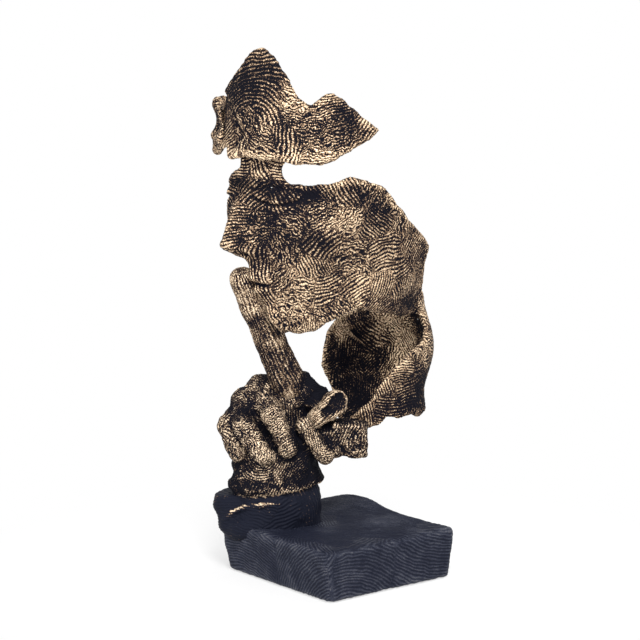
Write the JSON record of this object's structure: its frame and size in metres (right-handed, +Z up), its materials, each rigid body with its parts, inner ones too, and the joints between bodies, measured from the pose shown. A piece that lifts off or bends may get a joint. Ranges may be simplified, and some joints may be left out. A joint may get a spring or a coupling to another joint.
{
  "type": "hollow face sculpture",
  "caption": "Standing ornament: a torn, hollow half-face shell with a raised finger, carried by a torn neck and a fist on a square plinth.",
  "frame": {"origin": "on the plinth's flat underside, straight below the middle of its top face", "axes": "+Z up, the figure faces -Y, and the figure's left side is towards +X"},
  "size_m": [0.103, 0.1236, 0.2699],
  "materials": {
    "painted_resin": "near-black cast resin, grooves dry-brushed with dull gold",
    "golden_resin": "near-black cast resin, mostly covered by dry-brushed dull gold",
    "black_resin": "blue-black satin cast resin with combed grooves",
    "foam": "soft matt pad",
    "steel": "plain steel",
    "brass": "plain brass"
  },
  "bodies": {
    "root": {"fist": "painted_resin", "neck_stub": "painted_resin", "neck_shell": "painted_resin", "face_shell": "painted_resin", "brow_bridge": "painted_resin", "crown_shell": "painted_resin", "crown_far_shell": "painted_resin", "index_finger": "golden_resin", "thumb": "golden_resin", "plinth": "black_resin", "wrist_cuff": "black_resin", "foot_pad_1": "foam", "foot_pad_2": "foam", "foot_pad_3": "foam", "foot_pad_4": "foam", "plinth_screw": "steel", "screw_washer": "steel", "finger_pin": "steel", "thumb_pin": "steel", "stub_pin": "steel", "neck_pin": "steel", "jaw_pin_1": "steel", "jaw_pin_2": "steel", "brow_pin_1": "steel", "brow_pin_2": "steel", "crown_pin_1": "steel", "crown_pin_2": "steel", "crown_far_pin": "steel", "threaded_insert": "brass"}
  },
  "joints": []
}
